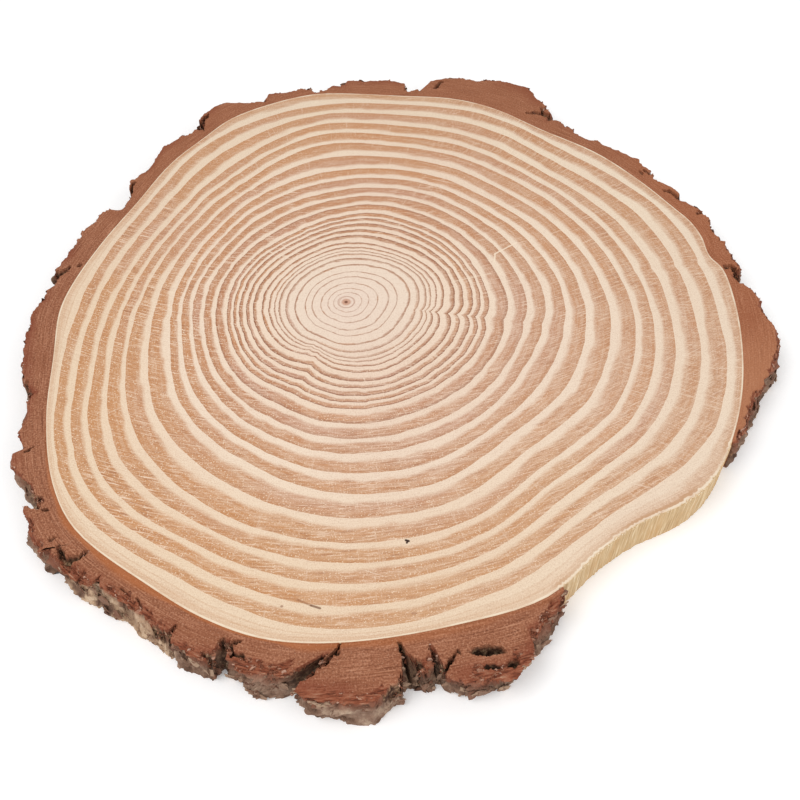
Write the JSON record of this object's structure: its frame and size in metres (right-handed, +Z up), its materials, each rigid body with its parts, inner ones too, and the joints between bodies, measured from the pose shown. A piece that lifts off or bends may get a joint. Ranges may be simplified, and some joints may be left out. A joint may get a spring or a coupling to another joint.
{
  "type": "wood slice",
  "caption": "Flat cross-cut slice of a pine log with growth rings on its sawn faces and rough bark round its rim, bare along one side, for use as a rustic board, stand or plaque.",
  "frame": {"origin": "middle of the bounding box at the underside, the sawn face that the slice lies on", "axes": "+Z up across the slice's thickness, +Y along its longer width, and the bare side of the wood at +X, -Y"},
  "size_m": [0.3004, 0.331, 0.016],
  "materials": {
    "sawn_wood": "bare sawn pine, matt, with pale and tan growth rings and fine saw marks",
    "bark": "reddish-brown sawn bark with a rough, flaky grey-brown outside"
  },
  "bodies": {
    "root": {"wood_disc": "sawn_wood", "bark": "bark"}
  },
  "joints": []
}
